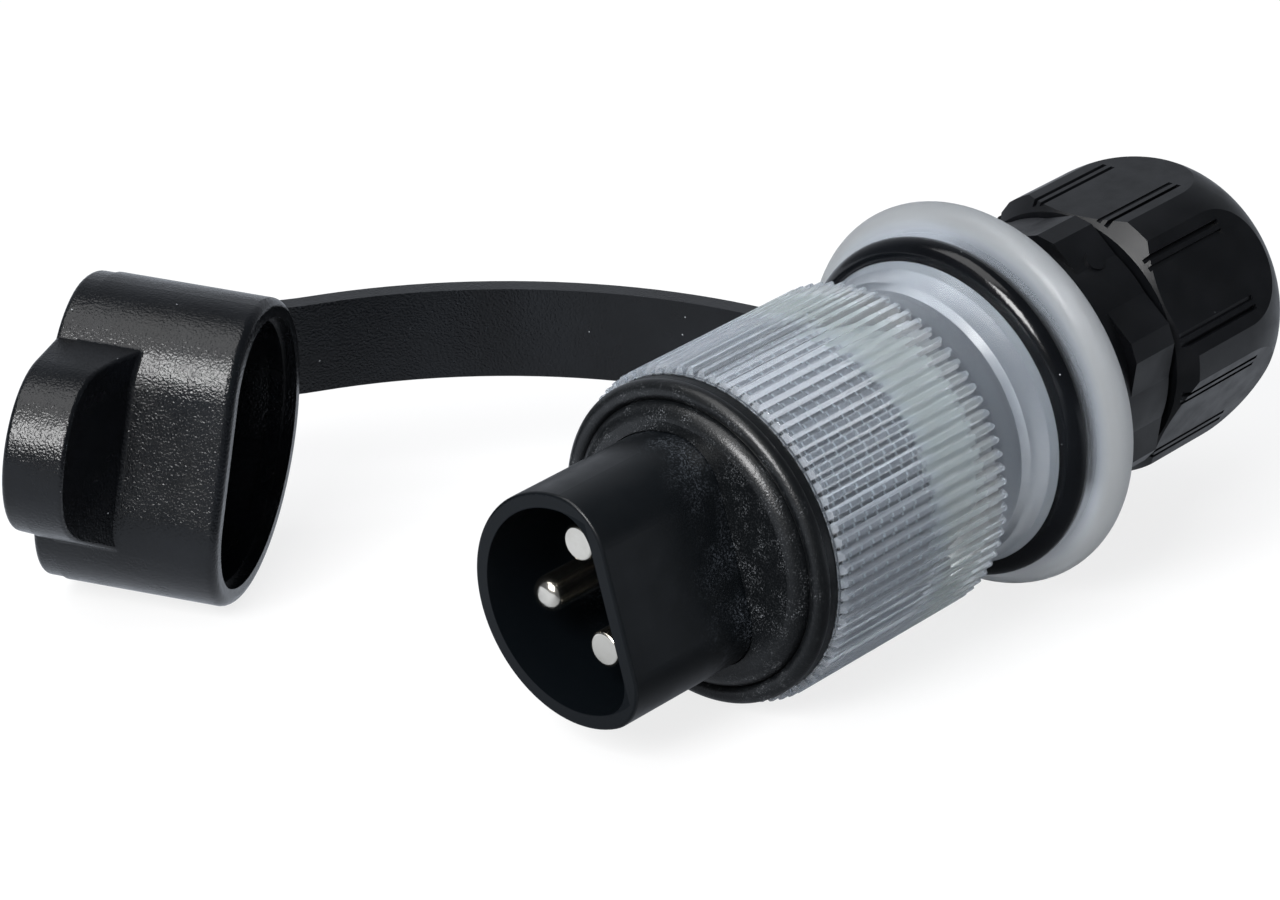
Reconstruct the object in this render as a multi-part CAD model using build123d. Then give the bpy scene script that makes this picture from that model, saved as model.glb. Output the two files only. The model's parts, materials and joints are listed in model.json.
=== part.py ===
from build123d import *
import os
from math import asin, atan2, cos, degrees, hypot, radians, sin, sqrt, tan

# A two-pole-and-earth plug with an indicator light inside a translucent housing, a D-shaped contact
# shroud, a cable gland and a rubber cap on a strap. Millimetres, +Z up, lying on the floor z = 0.
# The plug is drawn about its own axis: Z is the station behind the housing's front rim, towards the
# cable, and the flat of the shroud faces -X.

# Contact shroud
shroud_radius = 10.85
shroud_flat = 6.2            # axis to the flat side
shroud_corner = 5.0
shroud_wall = 1.4
shroud_reach = 17.55         # mouth ahead of the housing's front rim
shroud_edge = 0.3            # rounding of the mouth
floor_depth = 15.5           # mouth to the floor that the pins stand in

# Pins and their screw terminals
pin_radius = 1.65
shank_radius = 1.95          # the part of a pin inside the carrier
pin_recess = 3.35            # power pins behind the mouth
earth_lead = 0.8             # the earth pin reaches further
pin_edge = 0.3               # rounding of a power pin's flat end
earth_edge = 1.1             # the earth pin's end is nearly a dome
pole_pitch = 9.7
pole_offset = 0.5            # row of power pins from the axis, away from the flat
earth_offset = 5.6
barrel_radius = 2.7
barrel_front = 2.6
barrel_length = 17.4
wire_hole_radius = 1.3
wire_hole_depth = 7.0
screw_radius = 1.25
screw_length = 3.4
screw_setback = 2.6          # screw axis ahead of the barrel's end
screw_slot = 0.5
pin_gap = 0.05               # all round a pin or barrel in the carrier

# Carrier behind the shroud, screwed into the housing
carrier_radius = 13.1
carrier_length = 12.4
thread_gap = 0.2             # carrier thread in the housing, gland thread in the housing, nut on the gland

# Rubber face seal round the shroud
seal_radius = 14.95
seal_front = 3.0             # plateau ahead of the housing's rim
seal_plateau_radius = 11.9
seal_valley_radius = 13.3
seal_valley = 1.6
seal_lip = 2.2               # crest of the outer lip ahead of the rim
seal_side = 0.9              # straight side of the lip
seal_spigot_radius = 14.2
seal_spigot = 1.2            # depth of the spigot inside the housing
seal_gap = 0.1

# Translucent housing
rib_count = 76
rib_tip_radius = 15.72
rib_height = 0.62
rib_width = 0.9              # at the foot, leaving a narrow groove
rib_draft = 20               # degrees, side of a rib
rib_crest = 0.08             # rounding along the top
rib_start = 0.25             # thin smooth ring ahead of the ribs
rib_end = 22.2               # station of the ribs' rounded rear ends
notch_length = 0.5           # pocket behind the ring, between each two ribs
notch_depth = 0.35
housing_wall = 1.6
neck_radius = 13.0
neck_start = 21.4
ramp_start = 27.3
ramp_step = 0.55
ramp_rise_length = 0.6
collar_radius = 14.6
collar_end = 30.6
groove_radius = 13.2
groove_width = 3.4
flange_radius = 18.45
flange_thickness = 3.5
end_wall = 8.7               # wall that the gland screws into
board_room = 2.0             # threaded bore reaches this far behind the carrier

# Indicator on a round board behind the carrier
board_radius = 11.2
board_thickness = 1.0
board_gap = 0.25             # round the terminal barrels
led_radius = 1.5
led_flange = 0.35
led_base = 0.9
led_height = 4.2
led_offset = 8.4             # from the axis, towards the flat
resistor_radius = 1.1
resistor_length = 5.6
resistor_offset = 5.2
diode_radius = 0.9
diode_length = 3.8
diode_offset = 9.0
diode_angle = 62
lead_radius = 0.3
lead_pitch_extra = 1.2       # lead bend beyond a component's end
post_radius = 0.4
post_height = 2.6
post_angle = 143             # round the barrel, from the +X side

# Cable gland, M20 size
gland_thread_radius = 9.9
gland_thread_length = 9.0
washer_radius = 12.6
washer_thickness = 2.0
gland_collar_radius = 12.2
gland_collar_length = 4.6
hex_width = 24.0
hex_length = 5.6
hex_corner_cut = 13.3        # axis to the small faces on the hexagon's corners
hex_roll = 145.2
pip_radius = 1.0
pip_height = 0.25
pip_across = 2.6
cage_radius = 10.8
cage_length = 6.0
finger_length = 7.5
finger_count = 10
finger_slit = 1.0
finger_taper = 1.0
gland_bore_radius = 7.0
insert_radius = 8.6
insert_bore_radius = 6.5
insert_length = 17.6
insert_gap = 0.05

# Dome nut
nut_gap = 0.9                # open gap behind the hexagon
nut_radius = 13.9
nut_flat = 12.65             # axis to a wrench flat
nut_roll = 163.6
nut_straight = 9.7
nut_dome = 8.6
nut_dome_depth = 4.8         # how far the dome comes in from the side
nut_scallop = 1.6            # length of the cone that scallops the front edges of the flats
nut_scallop_depth = 1.4
nut_hole_radius = 6.8
nut_groove_angle = 17.0      # pair of grooves either side of a flat's middle
nut_groove_spacing = 0.95
nut_groove_width = 0.45
nut_groove_depth = 0.35
nut_groove_runout = 1.6      # on to the dome

# Cap, strap and loop, one rubber moulding
cap_fit = 0.5                # cavity round the shroud
cap_wall = 2.9
cap_length = 17.3
cap_end_wall = 2.4
cap_mouth_edge = 0.9
cap_end_edge = 0.5
cap_band = 2.1               # end plate, set in behind a fine parting line
cap_band_step = 0.15
cap_bead = 0.35              # bead inside the mouth
cap_bead_start = 1.2
cap_bead_width = 1.4
lug_width = 18.8             # at its foot in the wall
lug_round = 8.2              # radius of the tongue's end
lug_rise = 2.4               # middle of that radius above the flat
lug_crest = 5.7              # thickness of the tongue where its scoop is deepest
lug_edge = 0.35
lug_foot = 0.5               # rounding in the crease round the lug
scoop_radius = 20.0
scoop_height = 9.0           # deepest line of the scoop above the flat
loop_section = 2.8           # diameter of the ring's round section
loop_gap = 0.3               # ring round the groove's floor
strap_width = 8.8
strap_thickness = 2.2
strap_bow = 43.4             # radius of the strap's long bend
strap_drop = 0.5             # strap's middle below the plug's axis
strap_start = 0.4            # strap's middle ahead of the ring's
strap_tail = 1.2             # straight end laid along the cap
strap_end_setback = 4.2      # end of the bend from the cap's closed end

# How the plug and cap lie
plug_roll = 14.2             # degrees that the shroud's flat looks up
cap_x = -11.26               # middle of the cap's mouth, from the foot of the plug's front rim
cap_y = 45.07
cap_heading = -60.8          # degrees from +X to where the mouth looks
cap_pitch = -4.8
cap_roll = 13.5              # degrees that the cap's flat looks up

# Stations worked out from the sizes above
mouth = -shroud_reach
floor_front = mouth + floor_depth
carrier_front = seal_spigot
carrier_back = carrier_front + carrier_length
barrel_back = barrel_front + barrel_length
power_tip = mouth + pin_recess
earth_tip = power_tip - earth_lead
screw_station = barrel_back - screw_setback
board_back = carrier_back + board_thickness
rib_root_radius = rib_tip_radius - rib_height
bore_radius = carrier_radius + thread_gap
bore_end = carrier_back + board_room
flange_front = collar_end + groove_width
flange_back = flange_front + flange_thickness
chamber_end = flange_back - end_wall
gland_seat = flange_back + washer_thickness
hex_front = gland_seat + gland_collar_length
hex_back = hex_front + hex_length
cage_end = hex_back + cage_length
finger_end = cage_end + finger_length
insert_front = finger_end - insert_length
nut_front = hex_back + nut_gap
nut_dome_start = nut_front + nut_straight
nut_end = nut_dome_start + nut_dome
loop_radius = groove_radius + loop_gap + loop_section / 2
loop_station = collar_end + groove_width / 2
poles = {
    "line": (pole_offset, pole_pitch / 2),
    "neutral": (pole_offset, -pole_pitch / 2),
    "earth": (earth_offset, 0),
}


def turned(*outline):
    """A solid of revolution from (radius, station) points."""
    return revolve(Plane.XZ * make_face(Polyline(*outline, close=True)), Axis.Z)


def rod(radius, start, end, x=0.0, y=0.0):
    """A round bar along the axis from one station to another."""
    return Pos(x, y, start) * extrude(Circle(radius), end - start)


def d_shape(grow=0.0):
    """The shroud's D outline, grown all round; its flat faces -X."""
    radius = shroud_radius + grow
    flat = shroud_flat + grow
    whole = Rot(0, 0, 180) * Circle(radius)
    cut = Pos(-flat - radius, 0) * Rectangle(2 * radius, 4 * radius)
    face = whole - cut
    return fillet(face.vertices(), shroud_corner + grow)


def d_bar(grow, start, end):
    return Pos(0, 0, start) * extrude(d_shape(grow), end - start)


def make_carrier():
    shroud = d_bar(0, mouth, carrier_front + carrier_length / 2)
    rim = shroud.faces().sort_by(Axis.Z)[0]
    shroud = fillet(rim.edges(), shroud_edge)
    body = shroud + rod(carrier_radius, carrier_front, carrier_back)
    body -= d_bar(-shroud_wall, mouth - shroud_edge, floor_front)
    for x, y in poles.values():
        body -= rod(shank_radius + pin_gap, floor_front - shank_radius, carrier_back, x, y)
        body -= rod(barrel_radius + pin_gap, barrel_front, carrier_back + barrel_radius, x, y)
    return body


def screw_frame(x, y):
    """Where a terminal screw enters its barrel: Z points outwards from the plug's axis."""
    away = Vector(x, y, 0).normalized()
    return Plane(origin=(x, y, screw_station), x_dir=(0, 0, 1), z_dir=away)


def make_pin(x, y, tip, edge):
    outline = [
        Line((0, tip), (pin_radius - edge, tip)),
        RadiusArc((pin_radius - edge, tip), (pin_radius, tip + edge), -edge),
        Polyline(
            (pin_radius, tip + edge),
            (pin_radius, floor_front),
            (shank_radius, floor_front),
            (shank_radius, barrel_front),
            (barrel_radius, barrel_front),
            (barrel_radius, barrel_back),
            (0, barrel_back),
            (0, tip),
        ),
    ]
    pin = revolve(Plane.XZ * make_face(outline), Axis.Z)
    pin -= rod(wire_hole_radius, barrel_back - wire_hole_depth, barrel_back + wire_hole_radius)
    pin = Pos(x, y) * pin
    return pin - screw_frame(x, y) * extrude(Circle(screw_radius), 2 * barrel_radius)


def make_screw(x, y):
    screw = extrude(Circle(screw_radius), screw_length)
    slot = Pos(0, 0, screw_length) * Box(4 * screw_radius, screw_slot, 2 * screw_slot)
    lift = wire_hole_radius / 2
    return screw_frame(x, y) * Pos(0, 0, lift) * (screw - slot)


def make_seal():
    lip_start = (seal_valley_radius, -seal_valley)
    lip_crest = ((seal_valley_radius + seal_radius) / 2, -seal_lip)
    lip_side = (seal_radius, -seal_side)
    shoulder_radius = (seal_plateau_radius + 2 * seal_valley_radius) / 3
    shoulder = (shoulder_radius, -(2 * seal_front + seal_valley) / 3)
    outline = [
        Line((0, seal_spigot), (0, -seal_front)),
        Line((0, -seal_front), (seal_plateau_radius, -seal_front)),
        ThreePointArc((seal_plateau_radius, -seal_front), shoulder, lip_start),
        ThreePointArc(lip_start, lip_crest, lip_side),
        Polyline(
            lip_side,
            (seal_radius, 0),
            (seal_spigot_radius, 0),
            (seal_spigot_radius, seal_spigot),
            (0, seal_spigot),
        ),
    ]
    ring = revolve(Plane.XZ * make_face(outline), Axis.Z)
    return ring - d_bar(seal_gap, -2 * seal_front, 2 * seal_spigot)


def make_rib():
    """One grip rib at +X, a reed with a rounded rear end, drafted sides and a rounded crest."""
    half = rib_width / 2
    sink = 1.5 * notch_depth   # the foot reaches into the wall, below the pockets
    straight_end = rib_end - half
    outline = Polyline((-half, straight_end), (-half, rib_start), (half, rib_start), (half, straight_end))
    outline += ThreePointArc((half, straight_end), (0, rib_end), (-half, straight_end))
    plan = Plane(origin=(rib_root_radius, 0, 0), x_dir=(0, 1, 0), z_dir=(1, 0, 0)) * make_face(outline)
    reed = extrude(plan, rib_height, taper=rib_draft)
    crest = reed.faces().sort_by(Axis.X)[-1]
    return fillet(crest.edges(), rib_crest) + extrude(plan, -sink)


def make_housing():
    rim_round = flange_thickness / 2
    rim_root = flange_radius - rim_round
    rim_middle = flange_front + rim_round
    neck_inside = neck_radius - housing_wall
    ramp_top = ramp_start + ramp_rise_length
    outside = [
        Polyline(
            (gland_thread_radius + thread_gap, flange_back),
            (gland_thread_radius + thread_gap, chamber_end),
            (neck_inside, chamber_end),
            (neck_inside, ramp_start),
            (bore_radius, bore_end),
            (bore_radius, seal_spigot),
            (seal_spigot_radius + thread_gap, seal_spigot),
            (seal_spigot_radius + thread_gap, 0),
            (rib_root_radius, 0),
            (rib_root_radius, rib_start),
            (rib_root_radius - notch_depth, rib_start),
            (rib_root_radius - notch_depth, rib_start + notch_length),
            (rib_root_radius, rib_start + notch_length),
            (rib_root_radius, neck_start),
            (neck_radius, ramp_start),
            (neck_radius + ramp_step, ramp_top),
            (collar_radius, collar_end),
            (groove_radius, collar_end),
            (groove_radius, flange_front),
            (rim_root, flange_front),
        ),
        ThreePointArc((rim_root, flange_front), (flange_radius, rim_middle), (rim_root, flange_back)),
        Line((rim_root, flange_back), (gland_thread_radius + thread_gap, flange_back)),
    ]
    shell = revolve(Plane.XZ * make_face(outside), Axis.Z)
    ribs = [Rot(0, 0, 360 * i / rib_count) * make_rib() for i in range(rib_count)]
    return shell + ribs


def make_board():
    board = rod(board_radius, carrier_back, board_back)
    for x, y in poles.values():
        board -= rod(barrel_radius + board_gap, carrier_back - board_gap, board_back + board_gap, x, y)
    return board


def make_led():
    body_top = led_height - led_radius
    outline = [
        Polyline(
            (0, 0),
            (led_radius + led_flange, 0),
            (led_radius + led_flange, led_base),
            (led_radius, led_base),
            (led_radius, body_top),
        ),
        RadiusArc((led_radius, body_top), (0, led_height), -led_radius),
        Line((0, led_height), (0, 0)),
    ]
    led = revolve(Plane.XZ * make_face(outline), Axis.Z)
    return Pos(-led_offset, 0, board_back) * led


def make_axial_part(radius, length):
    """A component lying along Y on z = 0, with its two bent leads, as one solid."""
    lift = radius
    half = length / 2
    foot = half + lead_pitch_extra
    body = Pos(0, -half, lift) * Rot(-90, 0, 0) * extrude(Circle(radius), length)
    for side in (1, -1):
        elbow = Pos(0, side * foot, 0) * extrude(Circle(lead_radius), lift)
        wire = Rot(-90 * side, 0, 0) * extrude(Circle(lead_radius), lead_pitch_extra)
        run = Pos(0, side * half, lift) * wire
        knuckle = Pos(0, side * foot, lift) * Sphere(lead_radius)
        body += [elbow, run, knuckle]
    return body


def make_resistor():
    return Pos(-resistor_offset, 0, board_back) * make_axial_part(resistor_radius, resistor_length)


def make_diode():
    place = Rot(0, 0, diode_angle) * Pos(diode_offset, 0, board_back)
    return place * make_axial_part(diode_radius, diode_length)


def make_post(x, y):
    """A post on the board, soldered to the side of a power terminal."""
    reach = barrel_radius + post_radius
    turn = radians(post_angle)
    side = 1 if y > 0 else -1
    post_x = x + reach * cos(turn)
    post_y = y + side * reach * sin(turn)
    return rod(post_radius, board_back, board_back + post_height, post_x, post_y)


def make_washer():
    ring = rod(washer_radius, flange_back, gland_seat)
    past = gland_seat + washer_thickness
    return ring - rod(gland_thread_radius + thread_gap, flange_back - washer_thickness, past)


def hexagon(across_flats):
    """A hexagon with one flat facing +X."""
    return RegularPolygon(across_flats / 2, 6, major_radius=False, rotation=30)


def make_gland_body():
    thread_front = gland_seat - gland_thread_length
    pocket = insert_radius + insert_gap
    tip = cage_radius - finger_taper
    body = turned(
        (gland_bore_radius, thread_front),
        (gland_thread_radius, thread_front),
        (gland_thread_radius, gland_seat),
        (gland_collar_radius, gland_seat),
        (gland_collar_radius, hex_back),
        (cage_radius, hex_back),
        (cage_radius, cage_end),
        (tip, finger_end),
        (pocket, finger_end),
        (pocket, insert_front),
        (gland_bore_radius, insert_front),
    )
    section = hexagon(hex_width) & Rot(0, 0, 30) * hexagon(2 * hex_corner_cut)
    nut_part = Pos(0, 0, hex_front) * extrude(section, hex_length)
    pip = extrude(Circle(pip_radius), pip_height)
    flat_face = Plane(
        origin=(hex_width / 2, -pip_across, (hex_front + hex_back) / 2),
        x_dir=(0, 0, 1),
        z_dir=(1, 0, 0),
    )
    nut_part += flat_face * pip
    nut_part -= rod(gland_collar_radius - insert_gap, hex_front - hex_length, hex_back + hex_length)
    body += Rot(0, 0, hex_roll) * nut_part
    slit = Box(4 * cage_radius, finger_slit, finger_length)
    for i in range(finger_count // 2):
        turn = Rot(0, 0, 360 * i / finger_count)
        body -= turn * Pos(0, 0, cage_end + finger_length / 2) * slit
    return body


def make_insert():
    tube = rod(insert_radius, insert_front, finger_end)
    return tube - rod(insert_bore_radius, insert_front - insert_radius, finger_end + insert_radius)


def make_nut():
    inside = cage_radius + thread_gap
    dome_end_radius = nut_radius - nut_dome_depth
    outline = [
        Polyline(
            (inside, nut_front),
            (nut_radius - nut_scallop_depth, nut_front),
            (nut_radius, nut_front + nut_scallop),
            (nut_radius, nut_dome_start),
        ),
        EllipticalCenterArc((dome_end_radius, nut_dome_start), nut_dome_depth, nut_dome, 0, arc_size=90),
        Polyline(
            (dome_end_radius, nut_end),
            (nut_hole_radius, nut_end),
            (nut_hole_radius, finger_end),
            (inside, finger_end),
            (inside, nut_front),
        ),
    ]
    nut = revolve(Plane.XZ * make_face(outline), Axis.Z)
    nut &= Pos(0, 0, nut_front) * extrude(hexagon(2 * nut_flat), nut_end - nut_front)
    half_pair = degrees(nut_groove_spacing / nut_radius) / 2
    floor = nut_flat / cos(radians(nut_groove_angle)) - nut_groove_depth
    bar = Pos(floor + nut_radius / 2, 0) * Rectangle(nut_radius, nut_groove_width)
    bars = Sketch()
    for i in range(6):
        for side in (nut_groove_angle, -nut_groove_angle):
            for shift in (half_pair, -half_pair):
                bars += Rot(0, 0, 60 * i + side + shift) * bar
    run = nut_straight + nut_groove_runout
    nut -= Pos(0, 0, nut_front) * extrude(bars, run)
    return Rot(0, 0, nut_roll) * nut


def strap_plan(start, wall_point, wall_way, wall_out):
    """Plan of the strap: a long bend from the loop, then a bend the other way on to the cap.

    The second bend touches the first and ends on the cap's wall, so its radius follows from both.
    """
    bow = Vector(start.X - strap_bow, start.Y)
    gap = bow - wall_point
    back_radius = (gap.length**2 - strap_bow**2) / (2 * (gap.dot(wall_out) + strap_bow))
    second = wall_point + wall_out * back_radius
    meet = bow + (second - bow).normalized() * strap_bow
    first_bend = TangentArc(start, meet, tangent=Vector(0, 1))
    second_bend = TangentArc(meet, wall_point, tangent=first_bend % 1)
    tail = Line(wall_point, wall_point + wall_way * strap_tail)
    band = trace(Wire([first_bend, second_bend, tail]), line_width=strap_thickness)
    return band + Pos(tail @ 1) * Circle(strap_thickness / 2)


def make_cap():
    """The cap by itself: mouth at z = 0, closed end at z = cap_length, flat and lug towards -X."""
    grow = cap_fit + cap_wall
    flat = shroud_flat + grow
    band_start = cap_length - cap_band
    lug_start = cap_length - 2 * lug_crest
    foot_x = cap_wall / 2 - flat
    foot = Line((foot_x, -lug_width / 2), (foot_x, lug_width / 2))
    crown = Pos(-flat - lug_rise, 0) * Circle(lug_round)
    tongue = make_hull(crown.edges() + foot.edges())
    tongue -= Pos(foot_x + lug_round, 0) * Rectangle(2 * lug_round, 2 * lug_width)
    lug = Pos(0, 0, lug_start) * extrude(tongue, band_start - lug_start)
    scoop_line = Plane(
        origin=(-flat - scoop_height, 0, cap_length - lug_crest - scoop_radius),
        x_dir=(1, 0, 0),
        z_dir=(0, 1, 0),
    )
    lug -= scoop_line * extrude(Circle(scoop_radius), lug_width, both=True)
    scooped = lug.faces().filter_by(GeomType.CYLINDER).sort_by(Axis.Z)[0]
    lug = fillet(scooped.edges().sort_by(Axis.X)[:-1], lug_edge)
    mouth_part = d_bar(grow, 0, band_start)
    rim = mouth_part.faces().sort_by(Axis.Z)[0]
    mouth_part = fillet(rim.edges(), cap_mouth_edge)
    body = mouth_part + lug
    crease = new_edges(mouth_part, lug, combined=body)
    crease = crease.filter_by_position(Axis.Z, 0, band_start - lug_edge)
    body = fillet(crease, lug_foot)
    section = offset(d_shape(grow) + tongue, -cap_band_step)
    end_plate = Pos(0, 0, band_start) * extrude(section, cap_band)
    end_plate = fillet(end_plate.faces().sort_by(Axis.Z)[-1].edges(), cap_end_edge)
    cavity = d_bar(cap_fit, -cap_mouth_edge, cap_length - cap_end_wall)
    bead = d_bar(cap_fit, cap_bead_start, cap_bead_start + cap_bead_width)
    bead -= d_bar(cap_fit - cap_bead, 0, cap_length)
    return body + end_plate - (cavity - bead)


def lie_of_plug():
    """Tilt and height of the axis with the flange's rim and the front ring on the floor."""
    rim_round = flange_thickness / 2
    along = flange_front + rim_round
    rise = flange_radius - rim_round - rib_tip_radius
    tilt = atan2(rise, along) + asin(rim_round / hypot(along, rise))
    return tilt, rib_tip_radius * cos(tilt)


plug_tilt, axis_height = lie_of_plug()
axis_way = Vector(cos(plug_tilt), 0, sin(plug_tilt))
upright = Vector(-sin(plug_tilt), 0, cos(plug_tilt))
roll = radians(plug_roll)
plug_place = Plane(
    origin=(0, 0, axis_height),
    x_dir=Vector(0, 1, 0) * cos(roll) - upright * sin(roll),
    z_dir=axis_way,
).location


def make_cap_with_strap():
    """Cap on the floor, loop in the plug's groove and the strap between them, as one moulding."""
    pitch = radians(cap_pitch)
    heading = radians(cap_heading)
    way = Vector(cos(heading), sin(heading))          # where the mouth looks, in plan
    out = Vector(-sin(heading), cos(heading))         # away from the cap's flat, in plan
    look = way * cos(pitch) + Vector(0, 0, sin(pitch))
    lie = Plane(origin=(cap_x, cap_y, 0), x_dir=out, z_dir=-look).location
    cap = lie * Rot(0, 0, cap_roll) * make_cap()
    cap = Pos(0, 0, -cap.bounding_box().min.Z) * cap

    ring = Pos(0, 0, loop_station) * Torus(loop_radius, loop_section / 2)
    ring = plug_place * ring
    root_y = sqrt((loop_radius - loop_section / 4) ** 2 - strap_drop**2)
    start = Vector(axis_way.X * (loop_station - strap_start), root_y)
    wall = shroud_radius + cap_fit + cap_wall
    wall_point = Vector(cap_x, cap_y) + out * wall - way * (cap_length - strap_end_setback)
    middle = axis_height + axis_way.Z * loop_station - strap_drop
    band = strap_plan(start, wall_point, -way, out)
    strap = Pos(0, 0, middle - strap_width / 2) * extrude(band, strap_width)
    return cap + ring + strap


def build_pieces():
    plug_pieces = {
        "contact_carrier": make_carrier(),
        "line_pin": make_pin(*poles["line"], power_tip, pin_edge),
        "neutral_pin": make_pin(*poles["neutral"], power_tip, pin_edge),
        "earth_pin": make_pin(*poles["earth"], earth_tip, earth_edge),
        "line_screw": make_screw(*poles["line"]),
        "neutral_screw": make_screw(*poles["neutral"]),
        "earth_screw": make_screw(*poles["earth"]),
        "front_seal": make_seal(),
        "housing": make_housing(),
        "led_board": make_board(),
        "indicator_led": make_led(),
        "series_resistor": make_resistor(),
        "blocking_diode": make_diode(),
        "line_post": make_post(*poles["line"]),
        "neutral_post": make_post(*poles["neutral"]),
        "gland_washer": make_washer(),
        "gland_body": make_gland_body(),
        "gland_insert": make_insert(),
        "gland_nut": make_nut(),
    }
    pieces = {name: plug_place * piece for name, piece in plug_pieces.items()}
    pieces["protective_cap"] = make_cap_with_strap()
    return pieces


pieces = build_pieces()
box = Compound([piece.solid() for piece in pieces.values()]).bounding_box()
to_origin = Pos(-(box.min.X + box.max.X) / 2, -(box.min.Y + box.max.Y) / 2, -box.min.Z)

os.makedirs("parts", exist_ok=True)
for name, piece in pieces.items():
    export_step(to_origin * piece.solid(), f"parts/{name}.step")

axis_point = to_origin * plug_place * Pos(0, 0, loop_station)
print("tilt", round(degrees(plug_tilt), 3), "axis", tuple(axis_way))
print("loop centre", tuple(axis_point.position))
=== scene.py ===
import bpy
import bmesh
import json
from math import cos, pi, radians, sin
from mathutils import Matrix, Vector


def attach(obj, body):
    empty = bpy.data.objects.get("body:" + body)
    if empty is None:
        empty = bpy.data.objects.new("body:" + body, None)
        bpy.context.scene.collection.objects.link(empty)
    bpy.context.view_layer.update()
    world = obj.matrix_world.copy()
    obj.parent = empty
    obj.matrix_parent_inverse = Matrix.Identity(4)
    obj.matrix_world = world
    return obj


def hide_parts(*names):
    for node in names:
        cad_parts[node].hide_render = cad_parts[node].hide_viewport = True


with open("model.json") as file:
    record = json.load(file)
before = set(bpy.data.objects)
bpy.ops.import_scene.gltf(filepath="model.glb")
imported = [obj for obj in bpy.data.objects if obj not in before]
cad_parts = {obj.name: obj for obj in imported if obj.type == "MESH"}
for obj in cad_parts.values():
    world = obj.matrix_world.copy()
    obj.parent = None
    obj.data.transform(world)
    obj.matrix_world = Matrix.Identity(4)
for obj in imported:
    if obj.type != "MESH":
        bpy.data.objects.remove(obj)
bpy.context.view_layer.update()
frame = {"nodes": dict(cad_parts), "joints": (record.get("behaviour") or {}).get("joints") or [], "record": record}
print("stage: frame loaded with", len(frame["nodes"]), "nodes")

mm = 0.001
joint = frame["joints"][0]
loopMiddle = Vector(joint["pos_m"])

# The plug's own axes in the row frame: Z along the plug from the housing's front rim to the cable,
# X away from the flat of the contact shroud. The loop's joint carries the axis. Stations below are
# distances along that Z, and radii are distances from it.
plug = {
    "loopStation": 32.3 * mm,     # middle of the loop's groove behind the front rim
    "roll": radians(14.2),        # the shroud's flat looks up by this much
}


def plugPlace():
    along = Vector(joint["axis"]).normalized()
    side = Vector((0, 1, 0))
    up = along.cross(side)
    across = side * cos(plug["roll"]) - up * sin(plug["roll"])
    place = Matrix((across, along.cross(across), along)).transposed().to_4x4()
    place.translation = loopMiddle - along * plug["loopStation"]
    return place


plugMatrix = plugPlace()

# Shader helpers


def srgb(code):  # hex colour as painted -> linear
    parts = [int(code[i:i + 2], 16) / 255 for i in (1, 3, 5)]
    return [c / 12.92 if c <= 0.04045 else ((c + 0.055) / 1.055) ** 2.4 for c in parts] + [1.0]


def addNode(tree, kind, inputs=None, **settings):
    node = tree.nodes.new("ShaderNode" + kind)
    for key, value in settings.items():
        setattr(node, key, value)
    for key, value in (inputs or {}).items():
        if isinstance(value, bpy.types.NodeSocket):
            tree.links.new(value, node.inputs[key])
        else:
            node.inputs[key].default_value = value
    return node


def newMaterial(name):
    material = bpy.data.materials.new(name)
    material.use_nodes = True
    tree = material.node_tree
    tree.nodes.clear()
    return material, tree


def output(tree, shader):
    addNode(tree, "OutputMaterial", {"Surface": shader.outputs[0]})


def ownPlace(tree):  # the object's own coordinates, in metres
    return addNode(tree, "TexCoord").outputs["Object"]


def plugParts(tree):  # distance from the plug's axis, station along it, and place across the shroud's flat
    back = plugMatrix.inverted()
    place = addNode(tree, "Mapping", {
        "Vector": ownPlace(tree), "Location": back.translation, "Rotation": back.to_euler()}).outputs[0]
    level = addNode(tree, "VectorMath", {0: place, 1: (1, 1, 0)}, operation="MULTIPLY").outputs[0]
    radius = addNode(tree, "VectorMath", {0: level}, operation="LENGTH").outputs["Value"]
    parts = addNode(tree, "SeparateXYZ", {0: place}).outputs
    return radius, parts[2], parts[0]


def noise(tree, place, size, detail=2.0, roughness=0.5):  # size in metres
    return addNode(tree, "TexNoise", {
        "Vector": place, "Scale": 1 / size, "Detail": detail, "Roughness": roughness}).outputs[0]


def spread(tree, value, low, high, outLow=0.0, outHigh=1.0):
    return addNode(tree, "MapRange", {
        "Value": value, 1: low, 2: high, 3: outLow, 4: outHigh}).outputs[0]


def combine(tree, operation, first, second):
    return addNode(tree, "Math", {0: first, 1: second}, operation=operation).outputs[0]


def times(tree, first, second):
    return combine(tree, "MULTIPLY", first, second)


def along(tree, place, direction):  # how far a place lies in a direction
    return addNode(tree, "VectorMath", {0: place, 1: direction}, operation="DOT_PRODUCT").outputs["Value"]


def blend(tree, share, first, second):  # colours
    return addNode(tree, "Mix", {0: share, 6: first, 7: second}, data_type="RGBA").outputs[2]


def mixValue(tree, share, first, second):
    return addNode(tree, "Mix", {0: share, 2: first, 3: second}).outputs[0]


def bump(tree, height, depth, strength=1.0, before=None):  # depth in metres
    inputs = {"Height": height, "Distance": depth, "Strength": strength}
    if before is not None:
        inputs["Normal"] = before
    return addNode(tree, "Bump", inputs).outputs[0]


def specks(tree, place, cell, radius, share):  # scattered round dots, one in some of the cells
    dots = addNode(tree, "TexVoronoi", {"Vector": place, "Scale": 1 / cell})
    near = spread(tree, dots.outputs["Distance"], radius / cell, 0.5 * radius / cell)
    pick = addNode(tree, "SeparateColor", {0: dots.outputs["Color"]}).outputs[0]
    return times(tree, near, combine(tree, "LESS_THAN", pick, share))


# Materials, each with its sizes beside it

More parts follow.
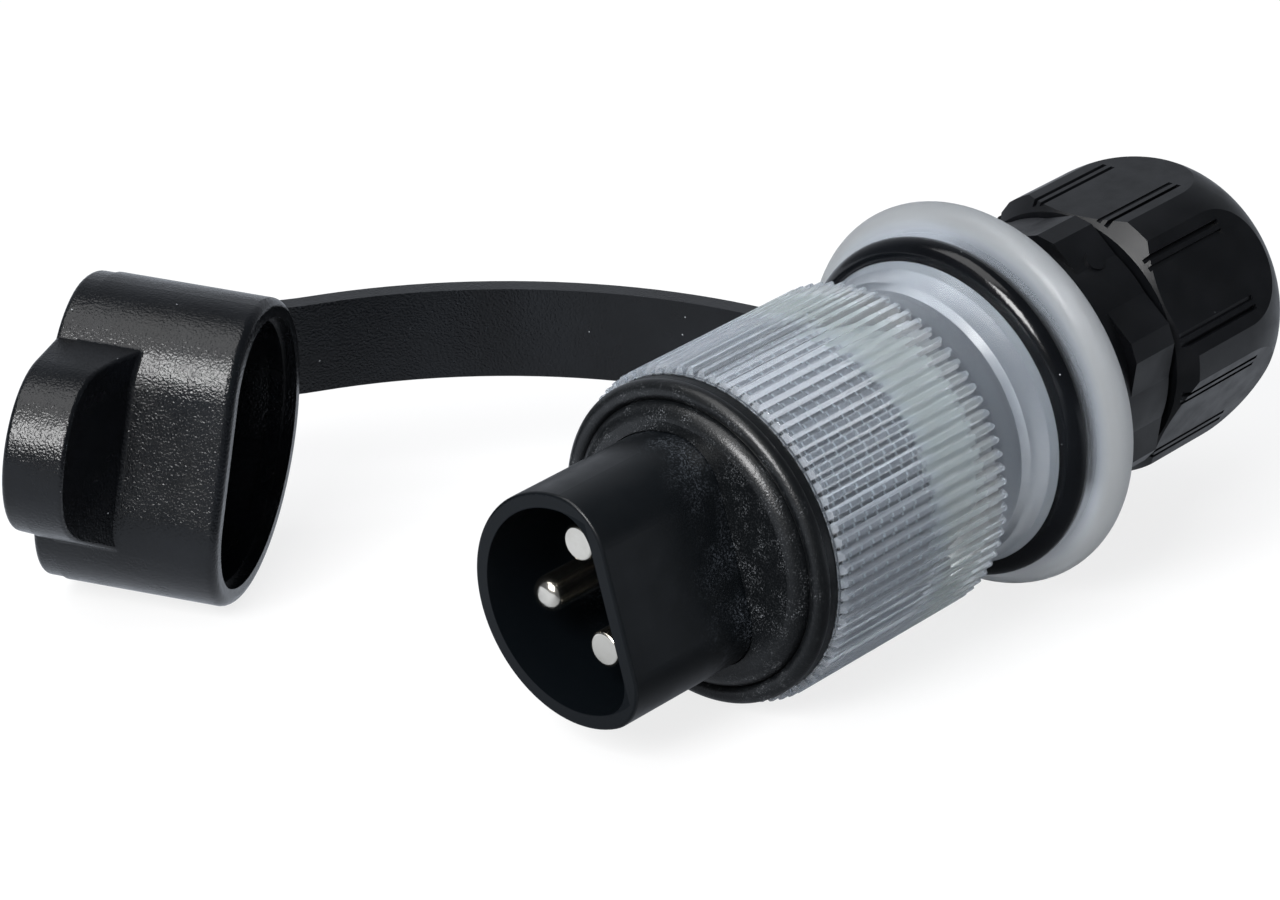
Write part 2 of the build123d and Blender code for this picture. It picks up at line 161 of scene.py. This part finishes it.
capRubber = {
    "black": ("#050608", "#0b0d10"),
    "toneSize": 7 * mm,
    "dust": (1.3 * mm, 0.09 * mm, 0.16),    # cell, radius, share of cells
    "dustColour": "#a9adb0",
    "loopEdge": (17 * mm, 19 * mm),         # radii between the polished loop and the strap
    "grainFade": (18 * mm, 40 * mm),        # the grain grows from the strap to the cap
    "leastGrain": 0.12,
    "grainSize": 0.22 * mm,
    "grainDepth": 0.055 * mm,
    "swellSize": 1.1 * mm,
    "swellDepth": 0.03 * mm,
    "gloss": (0.21, 0.29),
    "loopGloss": 0.17,
}


def grainedRubber():  # EPDM rubber, moulded in a spark-eroded tool, with dust on it
    look = capRubber
    material, tree = newMaterial("epdmRubberSparkGrain")
    place = ownPlace(tree)
    radius, _, _ = plugParts(tree)
    tone = spread(tree, noise(tree, place, look["toneSize"], 4), 0.35, 0.7)
    colour = blend(tree, tone, *map(srgb, look["black"]))
    dust = specks(tree, place, *look["dust"])
    colour = blend(tree, times(tree, dust, 0.7), colour, srgb(look["dustColour"]))
    shape = bump(tree, noise(tree, place, look["swellSize"], 2), look["swellDepth"], 0.5)
    grain = noise(tree, place, look["grainSize"], 1)
    strength = spread(tree, radius, *look["grainFade"], look["leastGrain"], 1.0)
    shape = bump(tree, grain, look["grainDepth"], strength, shape)
    gloss = spread(tree, noise(tree, place, 3 * mm, 3), 0.3, 0.7, *look["gloss"])
    gloss = mixValue(tree, spread(tree, radius, *look["loopEdge"]), look["loopGloss"], gloss)
    shader = addNode(tree, "BsdfPrincipled", {
        "Base Color": colour, "Roughness": gloss, "Specular IOR Level": 0.34, "Normal": shape})
    output(tree, shader)
    return material


carrierLook = {
    "black": "#070a0d",
    "rubbedColour": "#9aa2ad",
    "rubbedShare": 0.26,
    # where the reflection is cut down as painted shade: inside the shroud's mouth, and partly on its front face
    "mouthRadius": (9.6 * mm, 9.5 * mm),    # inside the shroud's wall
    "mouthFlat": (-4.9 * mm, -4.84 * mm),   # and inside its flat
    "rim": (-17.4 * mm, -17.5 * mm),        # stations at the shroud's front face
    "rimShade": 0.75,
    "nearSeal": (-9 * mm, -4 * mm),
    "patchSize": 3.5 * mm,
    "fleckSize": 0.2 * mm,
    "grainSize": 0.12 * mm,
    "grainDepth": 0.006 * mm,
    "gloss": (0.3, 0.4),
    "sheen": (0.4, 0.06),                   # reflection level outside, and where less reflection is painted as shade
}


def satinPolyamide():  # polyamide, moulded in a polished tool, with painted shade (less reflection) in the mouth and on the rim, rubbed pale near the seal
    look = carrierLook
    material, tree = newMaterial("polyamideMouldedSatin")
    place = ownPlace(tree)
    radius, station, across = plugParts(tree)
    # painted shade: less reflection in the mouth and on the rim
    inMouth = times(
        tree, spread(tree, radius, *look["mouthRadius"]), spread(tree, across, *look["mouthFlat"]))
    onRim = spread(tree, station, *look["rim"], 0.0, look["rimShade"])
    paintedShade = combine(tree, "MAXIMUM", inMouth, onRim)
    nearSeal = spread(tree, station, *look["nearSeal"])
    patch = spread(tree, noise(tree, place, look["patchSize"], 2), 0.42, 0.66)
    fleck = spread(tree, noise(tree, place, look["fleckSize"], 4, 0.7), 0.5, 0.72)
    rubbed = times(tree, times(tree, nearSeal, patch), fleck)
    colour = blend(
        tree, times(tree, rubbed, look["rubbedShare"]), srgb(look["black"]), srgb(look["rubbedColour"]))
    fine = noise(tree, place, look["grainSize"], 2)
    shader = addNode(tree, "BsdfPrincipled", {
        "Base Color": colour,
        "Roughness": spread(tree, noise(tree, place, 2.5 * mm, 3), 0.3, 0.7, *look["gloss"]),
        "Specular IOR Level": mixValue(tree, paintedShade, *look["sheen"]),
        "Normal": bump(tree, fine, look["grainDepth"], 0.7)})
    output(tree, shader)
    return material


sealLook = {
    "black": "#07090b",
    "powderColour": "#b9bdc2",
    "powderShare": 0.4,
    "face": (-1.2 * mm, -2.4 * mm),         # stations up to the flat face
    "fleckSize": 0.15 * mm,
    "patchSize": 2.2 * mm,
    "barePatch": 0.12,
    "grainSize": 0.2 * mm,
    "grainDepth": 0.022 * mm,
}


def speckledRubber():  # soft sealing rubber, blasted mould, pale powder in the pores of its face
    look = sealLook
    material, tree = newMaterial("sealRubberBlasted")
    place = ownPlace(tree)
    _, station, _ = plugParts(tree)
    face = spread(tree, station, *look["face"])
    fleck = spread(tree, noise(tree, place, look["fleckSize"], 4, 0.7), 0.55, 0.72)
    patch = spread(tree, noise(tree, place, look["patchSize"], 3), 0.46, 0.64, look["barePatch"], 1.0)
    powder = times(tree, times(tree, face, patch), fleck)
    colour = blend(
        tree, times(tree, powder, look["powderShare"]), srgb(look["black"]), srgb(look["powderColour"]))
    grain = noise(tree, place, look["grainSize"], 1)
    shader = addNode(tree, "BsdfPrincipled", {
        "Base Color": colour, "Roughness": 0.34, "Specular IOR Level": 0.44,
        "Normal": bump(tree, grain, look["grainDepth"], 1.0)})
    output(tree, shader)
    return material


housingLook = {
    "crest": (15.2 * mm, 15.6 * mm),        # radii
    "flange": (16 * mm, 17.5 * mm),
    "bore": (14 * mm, 13.7 * mm),
    # the pockets at the front of the grooves, where shade is painted in
    "pocketFloor": (15.07 * mm, 15 * mm),
    "pocket": (0.9 * mm, 0.8 * mm),         # stations
    "carrierEnd": (13.6 * mm, 14.2 * mm),
    "neckStart": (21.3 * mm, 21 * mm),
    "ribEnd": (21 * mm, 24 * mm),
    "haze": (0.06, 0.14),                   # between the ribs and on their crests
    "rearHaze": 0.26,
    "index": 1.49,
    "tint": ("#eef3f6", "#f6f6f6"),
    # painted shade: darker clear tint in the pockets
    "pocketShadeTint": "#50555a",
    "rippleSize": 0.6 * mm,
    "rippleDepth": 0.002 * mm,
    "milk": 0.14,                           # share of milky scatter, and what each zone adds
    "crestMilk": 0.08,
    "rearMilk": 0.04,
    "flangeMilk": 0.52,
    # painted light: extra milk on the rear bore, so the inside looks paler
    "borePaintedLight": 0.6,
    "lit": "#c9d5e3",
    "litFlange": "#b2b4b5",
    # pale teal painted on the rear, as the board's reflection and light from inside
    "rearPaintedReflection": "#d8e4e6",
    # painted shade: darker milk in the pockets
    "litPocketShade": "#3a3e42",
    "through": ("#e8e2dc", "#c6c9cc"),      # ribs and flange
    "throughShare": (0.4, 0.6),
}


def milkyPolypropylene():  # natural polypropylene, moulded; hazier where the wall is thick; painted shade in the front pockets; painted light and a painted reflection of the board in the rear
    look = housingLook
    material, tree = newMaterial("polypropyleneMouldedNatural")
    place = ownPlace(tree)
    radius, station, _ = plugParts(tree)
    onCrest = spread(tree, radius, *look["crest"])
    onFlange = spread(tree, radius, *look["flange"])
    behindRibs = spread(tree, station, *look["ribEnd"])
    inRear = times(tree, spread(tree, station, *look["carrierEnd"]), spread(tree, station, *look["neckStart"]))
    # mask of the rear bore's painted light
    onBore = times(tree, inRear, spread(tree, radius, *look["bore"]))
    # mask of the pockets' painted shade
    pocketShadeMask = times(tree, spread(tree, station, *look["pocket"]), spread(tree, radius, *look["pocketFloor"]))

    haze = spread(tree, onCrest, 0.0, 1.0, *look["haze"])
    haze = combine(tree, "MAXIMUM", haze, times(tree, behindRibs, look["rearHaze"]))
    cloud = spread(tree, noise(tree, place, 5 * mm, 3), 0.3, 0.7)
    tint = blend(tree, cloud, *map(srgb, look["tint"]))
    tint = blend(tree, pocketShadeMask, tint, srgb(look["pocketShadeTint"]))
    ripple = bump(tree, noise(tree, place, look["rippleSize"], 2), look["rippleDepth"], 0.4)
    clear = addNode(tree, "BsdfPrincipled", {
        "Base Color": tint, "Roughness": haze, "IOR": look["index"], "Transmission Weight": 1.0,
        "Normal": ripple})

    litColour = blend(tree, onFlange, srgb(look["lit"]), srgb(look["litFlange"]))
    # painted reflection of the board and painted light in the rear
    litColour = blend(tree, inRear, litColour, srgb(look["rearPaintedReflection"]))
    litColour = blend(tree, pocketShadeMask, litColour, srgb(look["litPocketShade"]))
    lit = addNode(tree, "BsdfDiffuse", {"Color": litColour, "Normal": ripple})
    throughColour = blend(tree, onFlange, *map(srgb, look["through"]))
    through = addNode(tree, "BsdfTranslucent", {"Color": throughColour, "Normal": ripple})
    milk = addNode(tree, "MixShader", {
        0: spread(tree, onFlange, 0.0, 1.0, *look["throughShare"]), 1: lit.outputs[0], 2: through.outputs[0]})

    share = look["milk"]
    for zone, added in (
            (onCrest, "crestMilk"), (behindRibs, "rearMilk"), (onFlange, "flangeMilk"), (onBore, "borePaintedLight")):
        share = combine(tree, "ADD", times(tree, zone, look[added]), share)
    output(tree, addNode(tree, "MixShader", {0: share, 1: clear.outputs[0], 2: milk.outputs[0]}))
    return material


pinLook = {
    "nickel": ("#f0ebe1", "#dfd9cd"),
    "toneSize": 1.2 * mm,
    "markSize": 0.12 * mm,
    "markDepth": 0.004 * mm,
}


def nickelPlate():  # nickel on turned brass, fine turning marks
    look = pinLook
    material, tree = newMaterial("nickelPlatedTurned")
    place = ownPlace(tree)
    marks = noise(tree, place, look["markSize"], 2)
    shader = addNode(tree, "BsdfPrincipled", {
        "Base Color": blend(tree, noise(tree, place, look["toneSize"], 2), *map(srgb, look["nickel"])),
        "Metallic": 1.0, "Roughness": 0.2, "Normal": bump(tree, marks, look["markDepth"], 0.5)})
    output(tree, shader)
    return material


glandLook = {
    "black": ("#060709", "#0c0d10"),
    "toneSize": 5 * mm,
    "dust": (1.8 * mm, 0.07 * mm, 0.08),    # cell, radius, share of cells
    "dustColour": "#8d9195",
    "grainSize": 0.14 * mm,
    "grainDepth": 0.009 * mm,
    "gloss": (0.3, 0.42),
}


def glandNylon():  # polyamide of the gland, fine moulded grain
    look = glandLook
    material, tree = newMaterial("polyamideMouldedGrain")
    place = ownPlace(tree)
    tone = spread(tree, noise(tree, place, look["toneSize"], 3), 0.35, 0.7)
    colour = blend(tree, tone, *map(srgb, look["black"]))
    dust = specks(tree, place, *look["dust"])
    colour = blend(tree, times(tree, dust, 0.4), colour, srgb(look["dustColour"]))
    grain = noise(tree, place, look["grainSize"], 3, 0.6)
    shader = addNode(tree, "BsdfPrincipled", {
        "Base Color": colour,
        "Roughness": spread(tree, noise(tree, place, 2 * mm, 3), 0.3, 0.7, *look["gloss"]),
        "Specular IOR Level": 0.36, "Normal": bump(tree, grain, look["grainDepth"], 0.8)})
    output(tree, shader)
    return material


innerMottle = {"size": 0.5 * mm, "depth": 0.006 * mm}


def innerFinish(name, light, dark, roughness, metallic=0.0):  # parts seen only dimly, or not at all
    material, tree = newMaterial(name)
    mottle = noise(tree, ownPlace(tree), innerMottle["size"], 3)
    shader = addNode(tree, "BsdfPrincipled", {
        "Base Color": blend(tree, mottle, srgb(light), srgb(dark)),
        "Roughness": roughness, "Metallic": metallic,
        "Normal": bump(tree, mottle, innerMottle["depth"], 0.5)})
    output(tree, shader)
    return material


finishes = {
    "carrier_black": satinPolyamide(),
    "pin_nickel": nickelPlate(),
    "screw_steel": innerFinish("steelZincPlated", "#b9b7b0", "#a09e98", 0.35, 1.0),
    "seal_rubber": speckledRubber(),
    "housing_clear": milkyPolypropylene(),
    "board_laminate": innerFinish("glassEpoxyLacquered", "#6f8a5c", "#587249", 0.45),
    "led_epoxy": innerFinish("epoxyCastWaterClear", "#e4e8e2", "#d4dad4", 0.12),
    "resistor_lacquer": innerFinish("ceramicLacquerDipped", "#c3a67c", "#a98c63", 0.4),
    "diode_moulding": innerFinish("epoxyTransferMoulded", "#232325", "#19191a", 0.5),
    "post_tin": innerFinish("copperTinned", "#cfcdc6", "#b9b7b0", 0.3, 1.0),
    "gland_nylon": glandNylon(),
    "gland_rubber": innerFinish("neopreneMoulded", "#161617", "#0e0e0f", 0.6),
    "cap_rubber": grainedRubber(),
}
slotOf = {entry["node"]: entry["material_slot"] for entry in frame["record"]["subparts"]}
for name, node in frame["nodes"].items():
    node.data.materials.clear()
    node.data.materials.append(finishes[slotOf[name]])
print("stage: finishes on", len(slotOf), "nodes")

sharpAngle = radians(35)


def newPiece(bm, name, finish, body):
    bmesh.ops.recalc_face_normals(bm, faces=bm.faces)
    mesh = bpy.data.meshes.new(name)
    bm.to_mesh(mesh)
    bm.free()
    mesh.materials.append(finish)
    mesh.shade_smooth()
    mesh.set_sharp_from_angle(angle=sharpAngle)
    piece = bpy.data.objects.new(name, mesh)
    bpy.context.scene.collection.objects.link(piece)
    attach(piece, body)
    return piece


# The cap with the thin lip of its mouth, which the solid has thicker

cap = {
    "mouthFromLoop": Vector((-43.466, 45.07, 0)) * mm,
    "heading": radians(-60.8),    # where the mouth looks
    "pitch": radians(-4.8),
    "reach": 17 * mm,             # the whole mouth lies this near its middle
    "mouthDepth": 2.7 * mm,       # as far in as the bead's back
    "thinned": 1.2 * mm,
    "wallLean": 0.1,              # a face that leans less than this is the cavity's wall
    "weld": 0.0005 * mm,
    "stayed": 0.01 * mm,          # a corner this near its old place keeps its shading
}


def copyNormals(mesh, source):  # faces that stayed keep the solid's own shading
    normals = []
    origin = mesh.attributes["sourceFace"].data
    for face in mesh.polygons:
        old = source.polygons[origin[face.index].value]
        for index in face.vertices:
            here = mesh.vertices[index].co
            away = {i: (source.vertices[source.loops[i].vertex_index].co - here).length for i in old.loop_indices}
            nearest = min(away, key=away.get)
            stayed = away[nearest] <= cap["stayed"]
            normals.append(source.corner_normals[nearest].vector.copy() if stayed else face.normal.copy())
    mesh.normals_split_custom_set(normals)
    mesh.attributes.remove(mesh.attributes["sourceFace"])


def buildCap():
    level = cos(cap["pitch"])
    look = Vector((cos(cap["heading"]) * level, sin(cap["heading"]) * level, sin(cap["pitch"])))
    middle = loopMiddle + cap["mouthFromLoop"]
    bm = bmesh.new()
    source = frame["nodes"]["protective_cap"].data
    bm.from_mesh(source)
    sourceFace = bm.faces.layers.int.new("sourceFace")
    for face in bm.faces:
        face[sourceFace] = face.index
    bmesh.ops.remove_doubles(bm, verts=bm.verts, dist=cap["weld"])
    bm.normal_update()
    near = [v for v in bm.verts if (v.co - middle).to_2d().length < cap["reach"]]
    mouth = max(v.co.dot(look) for v in near)
    moves = {}
    for vert in near:
        if mouth - vert.co.dot(look) > cap["mouthDepth"]:
            continue
        walls = [f.normal for f in vert.link_faces if abs(f.normal.dot(look)) < cap["wallLean"]]
        inward = sum(walls, Vector())
        if walls and inward.dot(middle - vert.co) > 0:
            moves[vert] = inward.normalized() * -cap["thinned"]
    for vert, move in moves.items():
        vert.co += move
    print("stage: cap lip, points moved", len(moves))
    piece = newPiece(bm, "capThinLip", finishes["cap_rubber"], "cap")
    copyNormals(piece.data, source)
    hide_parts("protective_cap")


buildCap()

# The housing's inner thread, pale between the black turns of the carrier's thread

thread = {
    "inner": 13.12 * mm,
    "outer": 13.28 * mm,
    "width": 0.2 * mm,
    "pitch": 1.5 * mm,
    "start": 1.7 * mm,
    "turns": 7.5,
    "stepsPerTurn": 72,
}


def buildThread():
    bm = bmesh.new()
    half = thread["width"] / 2
    corners = [
        (thread["inner"], -half / 2), (thread["outer"], -half), (thread["outer"], half), (thread["inner"], half / 2)]
    section = bm.faces.new([bm.verts.new((r, 0, thread["start"] + z)) for r, z in corners])
    steps = int(thread["turns"] * thread["stepsPerTurn"])
    bmesh.ops.spin(
        bm, geom=[section] + list(section.edges) + list(section.verts), cent=(0, 0, 0), axis=(0, 0, 1),
        dvec=(0, 0, thread["pitch"] / thread["stepsPerTurn"]), angle=2 * pi * thread["turns"], steps=steps)
    bmesh.ops.transform(bm, matrix=plugMatrix, verts=bm.verts)
    finish = innerFinish("polypropyleneThreadNatural", "#9aa2a6", "#8a9296", 0.4)
    newPiece(bm, "housingThread", finish, "plug")


buildThread()
print("stage: thread ready")

# Studio: pale floor, soft light from the left and above, white round the object

white = (1, 1, 1, 1)
studio = {
    "floorSize": 6.0,
    "floorColour": "#f4f4f4",
    "whiteShare": 0.8,            # how far the floor is simply white to the camera
    "ambient": 0.46,
    "airColour": "#eff5ff",
    "airNear": 0.1,               # the surround as black parts mirror it, on the camera's side and behind
    "airFar": 0.45,
    "airFade": (0.3, 0.95),
    "throughWall": 1.0,           # and as it shows through the housing
    "farDirection": Vector((0.73, 0.68, 0)),
    "brightFloor": Vector((-0.6, 0.8, 0)),
    "mirrorColour": "#edf4ff",
    "mirrored": (0.1, 0.85),      # the floor as black parts mirror it, on the camera's side and behind
    "mirroredFade": (-25 * mm, 25 * mm),
    "glandMirrored": 0.6,         # and some light on the floor beside the gland
    "glandFade": (10 * mm, 60 * mm),
}
lamps = {                         # place in metres, size in metres, watts
    "keySoftbox": ((-0.66, -0.18, 0.49), (0.36, 0.36), 10.0),
    "topSoftbox": ((-0.25, 0.15, 0.8), (0.6, 0.6), 3.2),
}
view = {
    "fromLoop": Vector((-327.306, -265.103, 171.635)) * mm,
    "look": Vector((0.6772, 0.6264, -0.386)),
    "focalPixels": 5000.0,        # fitted on the photograph, 1280 pixels wide
    "pictureWidth": 1280.0,
    "sensor": 36.0,
    "clipStart": 0.01,
}


def addToScene(name, data):
    item = bpy.data.objects.new(name, data)
    bpy.context.scene.collection.objects.link(item)
    return item


def buildFloor():
    bm = bmesh.new()
    bmesh.ops.create_grid(bm, x_segments=1, y_segments=1, size=studio["floorSize"] / 2)
    mesh = bpy.data.meshes.new("studioFloor")
    bm.to_mesh(mesh)
    bm.free()
    addToScene("studioFloor", mesh)
    material, tree = newMaterial("paleFloor")
    mesh.materials.append(material)
    path = addNode(tree, "LightPath").outputs
    seen = combine(tree, "MAXIMUM", path["Is Camera Ray"], path["Is Transmission Ray"])
    lit = addNode(tree, "BsdfDiffuse", {"Color": srgb(studio["floorColour"])})
    glow = addNode(tree, "Emission", {"Color": white, "Strength": 1.0})
    plain = addNode(tree, "MixShader", {
        0: times(tree, seen, studio["whiteShare"]), 1: lit.outputs[0], 2: glow.outputs[0]})
    place = ownPlace(tree)
    behind = along(tree, place, studio["brightFloor"])
    level = spread(tree, behind, *studio["mirroredFade"], *studio["mirrored"])
    towardsGland = addNode(tree, "SeparateXYZ", {0: place}).outputs[0]
    besideGland = spread(tree, towardsGland, *studio["glandFade"], 0.0, studio["glandMirrored"])
    mirrored = addNode(tree, "Emission", {
        "Color": srgb(studio["mirrorColour"]), "Strength": combine(tree, "MAXIMUM", level, besideGland)})
    output(tree, addNode(tree, "MixShader", {
        0: path["Is Glossy Ray"], 1: plain.outputs[0], 2: mirrored.outputs[0]}))


def buildAir():
    world = bpy.data.worlds.new("studioAir")
    world.use_nodes = True
    tree = world.node_tree
    tree.nodes.clear()
    path = addNode(tree, "LightPath").outputs
    behind = along(tree, addNode(tree, "TexCoord").outputs["Generated"], studio["farDirection"])
    mirrored = spread(tree, behind, *studio["airFade"], studio["airNear"], studio["airFar"])
    level = mixValue(tree, path["Is Glossy Ray"], studio["ambient"], mirrored)
    level = mixValue(tree, path["Is Transmission Ray"], level, studio["throughWall"])
    level = combine(tree, "MAXIMUM", path["Is Camera Ray"], level)
    tone = blend(tree, path["Is Camera Ray"], srgb(studio["airColour"]), white)
    sky = addNode(tree, "Background", {"Color": tone, "Strength": level})
    addNode(tree, "OutputWorld", {"Surface": sky.outputs[0]})
    bpy.context.scene.world = world


def buildLamps():
    for name, (place, size, watts) in lamps.items():
        light = bpy.data.lights.new(name, "AREA")
        light.shape = "RECTANGLE"
        light.size, light.size_y = size
        light.energy = watts
        lamp = addToScene(name, light)
        lamp.location = place
        lamp.rotation_euler = (-Vector(place)).to_track_quat("-Z", "Y").to_euler()


def buildCamera():
    lens = bpy.data.cameras.new("photoCamera")
    lens.sensor_width = view["sensor"]
    lens.lens = view["focalPixels"] * view["sensor"] / view["pictureWidth"]
    lens.clip_start = view["clipStart"]
    camera = addToScene("photoCamera", lens)
    camera.location = loopMiddle + view["fromLoop"]
    camera.rotation_euler = view["look"].to_track_quat("-Z", "Y").to_euler()
    bpy.context.scene.camera = camera
    bpy.context.scene.view_settings.view_transform = "Standard"


buildFloor()
buildLamps()
buildAir()
buildCamera()
print("stage: studio ready")
